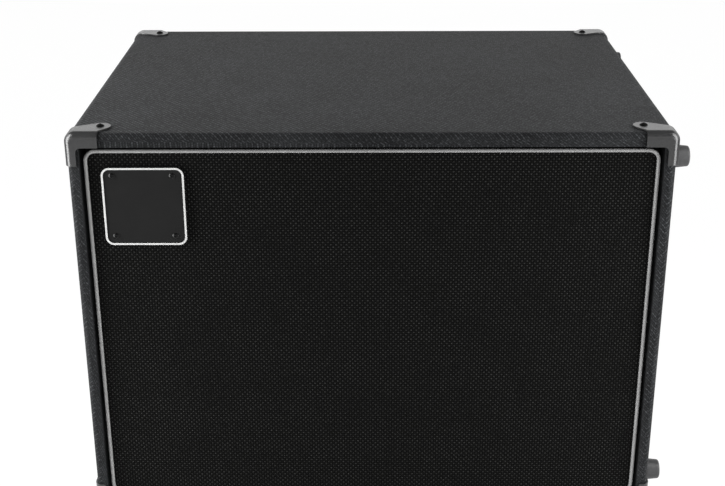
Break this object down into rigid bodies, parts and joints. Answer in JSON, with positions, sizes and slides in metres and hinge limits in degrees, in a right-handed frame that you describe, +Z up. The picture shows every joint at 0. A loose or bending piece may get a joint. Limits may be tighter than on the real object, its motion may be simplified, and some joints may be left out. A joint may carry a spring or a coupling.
{
  "type": "bass speaker cabinet",
  "caption": "Vinyl-covered plywood bass speaker cabinet with a pull-off cloth grille, woofers, horn, tuning ports, corner protectors, side handles and feet on its base and one side.",
  "frame": {"origin": "on the surface that the cabinet stands on, below the middle of its overall box", "axes": "+Z up, the grille faces -Y, +X to the right as seen from the front, towards the side that has feet"},
  "size_m": [0.6094, 0.4386, 0.4433],
  "materials": {
    "textured_vinyl": "black covering vinyl with a fine embossed grain",
    "plywood": "bare birch plywood",
    "painted_plywood": "matt black paint on plywood",
    "moulded_plastic": "black moulded plastic, lightly grained satin",
    "foot_rubber": "black satin rubber",
    "grille_fabric": "black basket-weave grille cloth",
    "piping_vinyl": "silver-grey vinyl piping",
    "badge_plastic": "black plastic plate with a pale raised border, left plain",
    "pressed_steel": "black painted pressed steel",
    "plated_steel": "zinc-plated steel",
    "ferrite": "dark grey sintered ferrite",
    "cone_paper": "black pressed paper pulp",
    "surround_rubber": "matt black rolled surround",
    "spider_cloth": "resin-stiffened yellow cloth",
    "circuit_board": "green board",
    "copper_wire": "enamelled copper wire",
    "fibre_batt": "white polyester fibre",
    "lead_insulation": "red plastic insulation"
  },
  "bodies": {
    "cabinet": {"vinyl_covering": "textured_vinyl", "top_board": "plywood", "bottom_board": "plywood", "left_board": "plywood", "right_board": "plywood", "baffle_board": "painted_plywood", "back_board": "painted_plywood", "centre_brace": "plywood", "front_cleats": "plywood", "rear_cleats": "plywood", "corner_protector_front_bottom_left": "moulded_plastic", "corner_protector_front_bottom_right": "moulded_plastic", "corner_protector_front_top_left": "moulded_plastic", "corner_protector_front_top_right": "moulded_plastic", "corner_protector_rear_bottom_left": "moulded_plastic", "corner_protector_rear_bottom_right": "moulded_plastic", "corner_protector_rear_top_left": "moulded_plastic", "corner_protector_rear_top_right": "moulded_plastic", "base_foot_front_left": "foot_rubber", "base_foot_front_right": "foot_rubber", "base_foot_rear_left": "foot_rubber", "base_foot_rear_right": "foot_rubber", "side_foot_front_lower": "foot_rubber", "side_foot_front_upper": "foot_rubber", "side_foot_rear_lower": "foot_rubber", "side_foot_rear_upper": "foot_rubber", "left_handle": "moulded_plastic", "right_handle": "moulded_plastic", "left_woofer_basket": "pressed_steel", "left_woofer_magnet": "ferrite", "left_woofer_yoke": "plated_steel", "left_woofer_surround": "surround_rubber", "left_woofer_spider": "spider_cloth", "right_woofer_basket": "pressed_steel", "right_woofer_magnet": "ferrite", "right_woofer_yoke": "plated_steel", "right_woofer_surround": "surround_rubber", "right_woofer_spider": "spider_cloth", "horn_flare": "moulded_plastic", "horn_driver": "pressed_steel", "left_port_tube": "moulded_plastic", "right_port_tube": "moulded_plastic", "input_dish": "moulded_plastic", "input_jack": "plated_steel", "link_jack": "plated_steel", "level_attenuator": "plated_steel", "crossover_board": "circuit_board", "crossover_coil": "copper_wire", "damping_batt": "fibre_batt", "left_woofer_lead": "lead_insulation", "right_woofer_lead": "lead_insulation"},
    "grille": {"grille_frame": "painted_plywood", "grille_cloth": "grille_fabric", "grille_piping": "piping_vinyl", "badge_plate": "badge_plastic"},
    "level_knob": {"level_knob": "moulded_plastic"},
    "left_cone": {"left_woofer_cone": "cone_paper", "left_woofer_dust_cap": "cone_paper"},
    "right_cone": {"right_woofer_cone": "cone_paper", "right_woofer_dust_cap": "cone_paper"}
  },
  "joints": [
    {"name": "grille_pull", "type": "slide", "parent": "cabinet", "child": "grille", "axis": [0, -1, 0], "range_m": [0, 0.08]},
    {"name": "horn_level_turn", "type": "hinge", "parent": "cabinet", "child": "level_knob", "pos_m": [0.03035, 0.2, 0.3623], "axis": [0, 1, 0], "range_deg": [-135, 135]},
    {"name": "left_cone_travel", "type": "slide", "parent": "cabinet", "child": "left_cone", "axis": [0, -1, 0], "range_m": [-0.005, 0.005], "stiffness_N_per_m": 4000, "deforming": ["left_woofer_surround", "left_woofer_spider"]},
    {"name": "right_cone_travel", "type": "slide", "parent": "cabinet", "child": "right_cone", "axis": [0, -1, 0], "range_m": [-0.005, 0.005], "stiffness_N_per_m": 4000, "deforming": ["right_woofer_surround", "right_woofer_spider"]}
  ]
}
